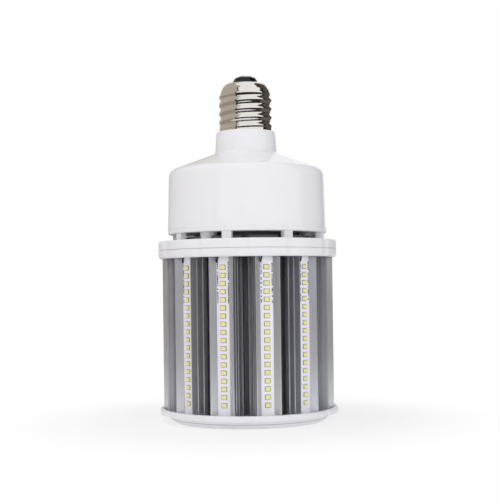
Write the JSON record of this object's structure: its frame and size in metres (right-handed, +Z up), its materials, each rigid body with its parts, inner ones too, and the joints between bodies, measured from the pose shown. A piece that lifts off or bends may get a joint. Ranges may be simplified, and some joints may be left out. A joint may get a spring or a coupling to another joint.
{
  "type": "led corn lamp",
  "caption": "Corn-cob shaped LED lamp with a mogul screw base, upright light modules round a core, white end rings and a white driver housing.",
  "frame": {"origin": "centre of the end cover's flat outer face, on the lamp axis", "axes": "+Z up along the lamp axis to the screw base, -Y towards the first light module"},
  "size_m": [0.131, 0.131, 0.2536],
  "materials": {
    "white_plastic": "moulded, satin",
    "white_housing": "moulded, semi-gloss",
    "dark_plastic": "moulded, matt",
    "aluminium": "extruded, satin",
    "dark_aluminium": "anodised dark",
    "board_white": "white solder mask",
    "led_body": "pale body with yellow phosphor",
    "nickel_shell": "rolled and nickel plated",
    "black_insulator": "glazed black",
    "solder": "soldered",
    "circuit_board": "green solder mask",
    "ferrite": "sintered",
    "winding": "yellow tape",
    "capacitor_sleeve": "shrink sleeve",
    "film_box": "moulded box",
    "copper_wire": "enamelled wire",
    "screw_steel": "zinc plated",
    "black_lead": "insulated wire"
  },
  "bodies": {
    "root": {"bottom_cover": "white_plastic", "bottom_ring": "white_plastic", "core_tube": "dark_aluminium", "lower_ring": "white_plastic", "upper_ring": "white_plastic", "vent_collar": "dark_plastic", "housing_base": "white_housing", "driver_housing": "white_housing", "screw_shell": "nickel_shell", "base_insulator": "black_insulator", "centre_contact": "solder", "driver_board": "circuit_board", "transformer_core": "ferrite", "transformer_winding": "winding", "capacitors": "capacitor_sleeve", "film_capacitors": "film_box", "choke_coils": "copper_wire", "driver_heat_plate": "aluminium", "power_transistors": "dark_plastic", "module_screws": "screw_steel", "case_screws": "screw_steel", "board_leads": "black_lead", "driver_leads": "black_lead", "heat_sink_01": "aluminium", "led_board_01": "board_white", "led_row_01": "led_body", "heat_sink_02": "aluminium", "led_board_02": "board_white", "led_row_02": "led_body", "heat_sink_03": "aluminium", "led_board_03": "board_white", "led_row_03": "led_body", "heat_sink_04": "aluminium", "led_board_04": "board_white", "led_row_04": "led_body", "heat_sink_05": "aluminium", "led_board_05": "board_white", "led_row_05": "led_body", "heat_sink_06": "aluminium", "led_board_06": "board_white", "led_row_06": "led_body", "heat_sink_07": "aluminium", "led_board_07": "board_white", "led_row_07": "led_body", "heat_sink_08": "aluminium", "led_board_08": "board_white", "led_row_08": "led_body", "heat_sink_09": "aluminium", "led_board_09": "board_white", "led_row_09": "led_body", "heat_sink_10": "aluminium", "led_board_10": "board_white", "led_row_10": "led_body", "heat_sink_11": "aluminium", "led_board_11": "board_white", "led_row_11": "led_body", "heat_sink_12": "aluminium", "led_board_12": "board_white", "led_row_12": "led_body"}
  },
  "joints": []
}
